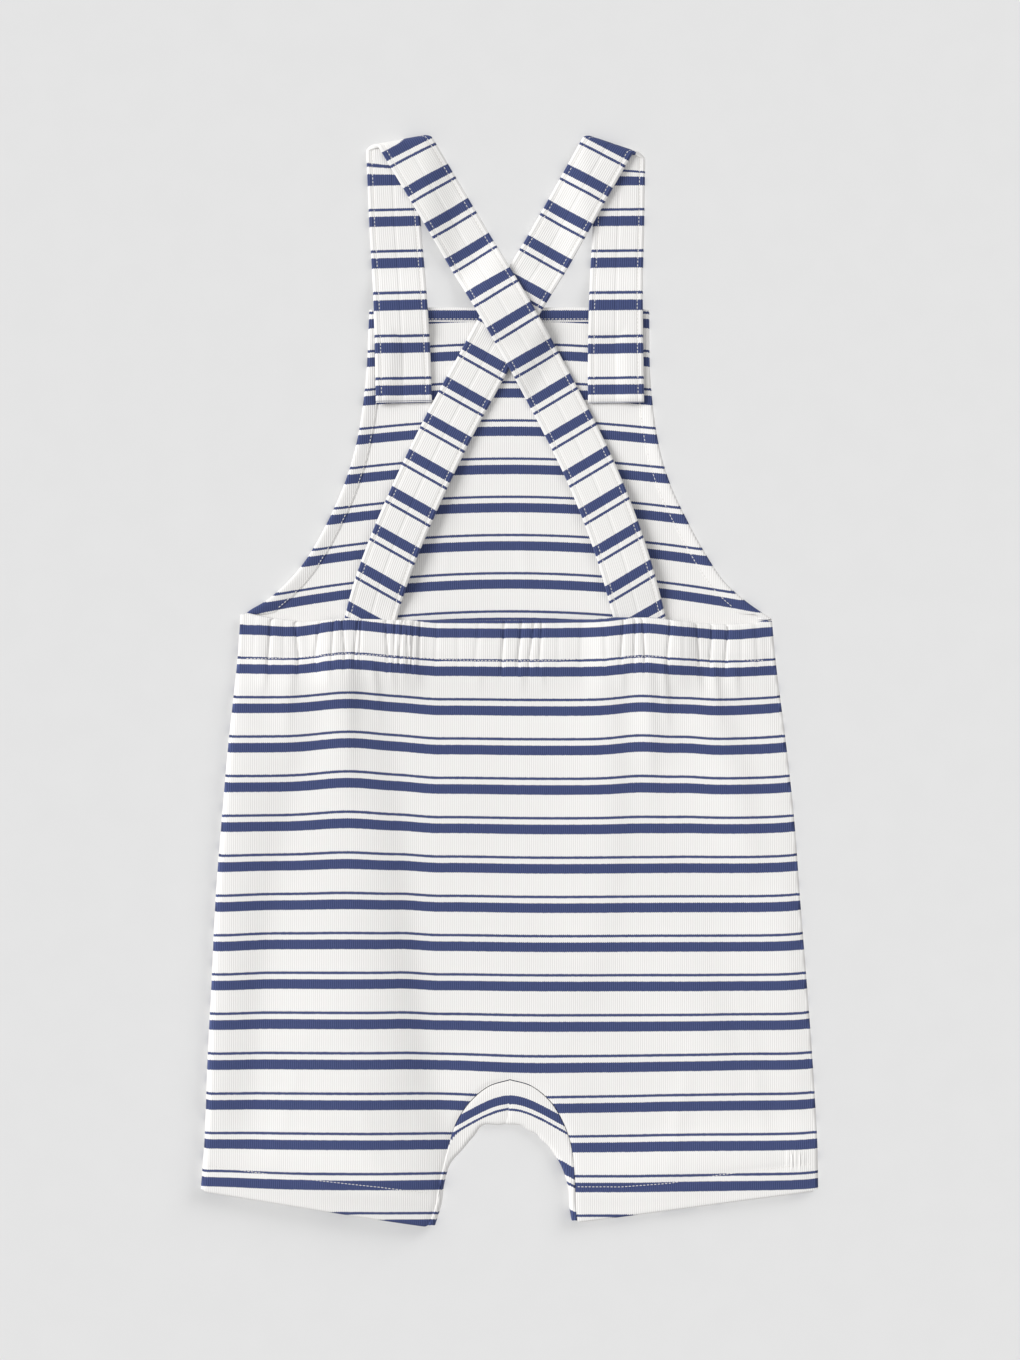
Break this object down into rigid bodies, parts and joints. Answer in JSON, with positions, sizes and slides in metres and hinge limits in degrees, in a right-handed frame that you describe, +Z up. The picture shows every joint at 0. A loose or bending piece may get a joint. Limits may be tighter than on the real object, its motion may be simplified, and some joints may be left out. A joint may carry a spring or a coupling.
{
  "type": "dungarees",
  "caption": "Child's short dungarees in striped rib jersey, laid flat with the back up: bib, crossed and folded straps, gathered back waist, hemmed legs",
  "frame": {"origin": "Middle of the footprint, on the surface that the garment lies on", "axes": "+X across the garment to the wearer's right side, +Y along it from the legs to the straps, +Z up out of the back"},
  "size_m": [0.2712, 0.4793, 0.0084],
  "materials": {
    "front_jersey": "matte rib jersey, white with navy double stripes",
    "back_jersey": "matte rib jersey, white with navy double stripes",
    "hem_jersey": "matte rib jersey, turned and stitched",
    "strap_jersey": "matte rib jersey, doubled and topstitched"
  },
  "bodies": {
    "root": {"front_panel": "front_jersey", "back_panel": "back_jersey", "waist_casing": "back_jersey", "armhole_hem_left": "hem_jersey", "armhole_hem_right": "hem_jersey", "bib_top_hem": "hem_jersey", "strap_left": "strap_jersey", "strap_right": "strap_jersey"}
  },
  "joints": []
}
